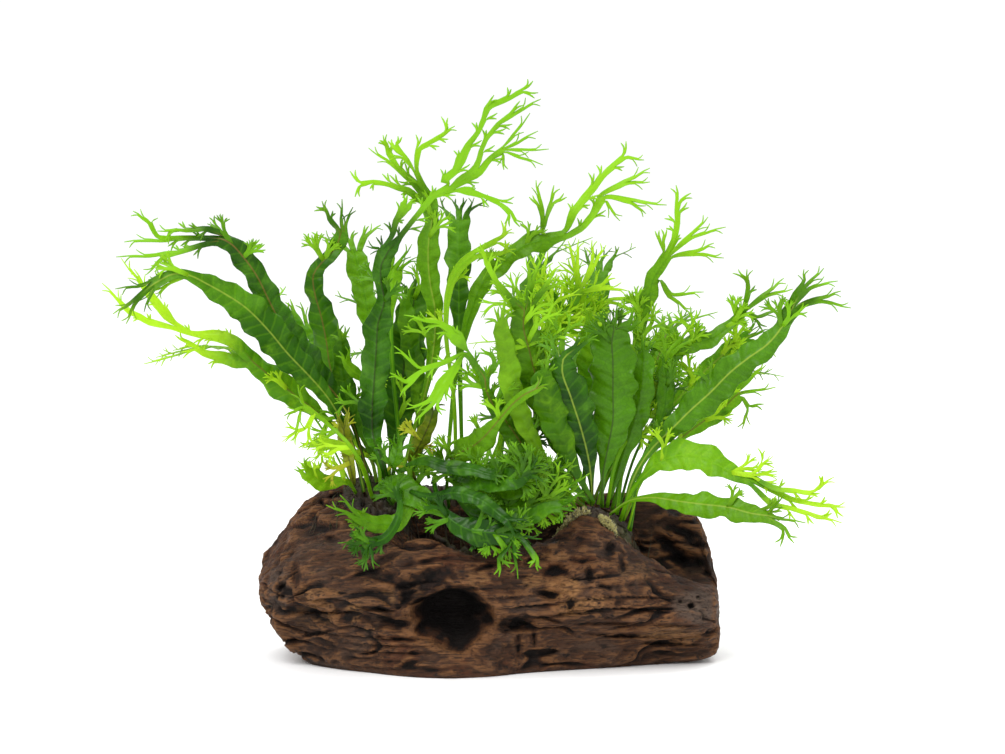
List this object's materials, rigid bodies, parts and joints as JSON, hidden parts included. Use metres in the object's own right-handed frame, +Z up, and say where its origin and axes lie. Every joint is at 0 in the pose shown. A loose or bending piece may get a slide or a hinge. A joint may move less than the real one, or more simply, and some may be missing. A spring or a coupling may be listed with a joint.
{
  "type": "java fern on driftwood",
  "caption": "Java fern with wavy lance-shaped fronds and forked lacy tips, growing from creeping rhizomes on a hollow driftwood log.",
  "frame": {"origin": "centre of the log's flat underside, at the height it rests on", "axes": "+X along the log to the right as seen from the front, +Y to the back, +Z up"},
  "size_m": [0.3725, 0.1932, 0.2917],
  "materials": {
    "driftwood": "dry rough grain, cracked",
    "rhizome": "fibrous, dark, matt",
    "moss": "matt tufts",
    "frond_dark": "satin leaf",
    "frond_green": "satin leaf",
    "frond_bright": "satin leaf, light shines through",
    "frond_old": "satin leaf with dark spots"
  },
  "bodies": {
    "root": {"driftwood_log": "driftwood", "rhizome_left": "rhizome", "rhizome_middle": "rhizome", "rhizome_right": "rhizome", "moss_wide": "moss", "moss_small": "moss", "frond_arch_left_upper": "frond_dark", "frond_arch_left_lower": "frond_green", "frond_bright_left": "frond_bright", "frond_hidden_left": "frond_bright", "frond_small_curl": "frond_bright", "frond_twisted_upright": "frond_green", "frond_dark_upright": "frond_dark", "frond_lime_behind": "frond_bright", "frond_tall_left": "frond_green", "frond_broad_grey": "frond_green", "frond_upper_right": "frond_green", "frond_cross_centre": "frond_bright", "frond_lacy_centre": "frond_bright", "frond_bright_centre": "frond_bright", "frond_broad_dark": "frond_dark", "frond_dark_second": "frond_dark", "frond_brown_rib": "frond_green", "frond_forked_low": "frond_dark", "frond_low_middle": "frond_green", "frond_right_upright": "frond_green", "frond_sweep_right": "frond_dark", "frond_bright_sweep": "frond_bright", "frond_fan_right": "frond_green", "frond_small_right": "frond_bright", "frond_dark_right": "frond_dark", "frond_crest_right": "frond_bright", "frond_low_right": "frond_bright", "frond_lowest_right": "frond_green", "frond_droop_left": "frond_green", "frond_droop_arm": "frond_dark", "frond_front_flow": "frond_green", "frond_front_hang": "frond_dark", "frond_front_mid": "frond_dark", "frond_front_right": "frond_green", "frond_yellow_low": "frond_bright", "frond_old_spotted": "frond_old", "frond_sprig_left": "frond_bright", "frond_black_rib": "frond_old", "frond_round_dark": "frond_dark", "frond_back_far_left": "frond_bright", "frond_back_left": "frond_green", "frond_back_left_high": "frond_green", "frond_back_left_low": "frond_green", "frond_back_mid_left": "frond_green", "frond_back_middle": "frond_green", "frond_back_mid_low": "frond_bright", "frond_back_mid_right": "frond_green", "frond_back_mid_side": "frond_green", "frond_back_right_high": "frond_green", "frond_back_right": "frond_green", "frond_back_right_low": "frond_green", "frond_side_right": "frond_bright"}
  },
  "joints": []
}
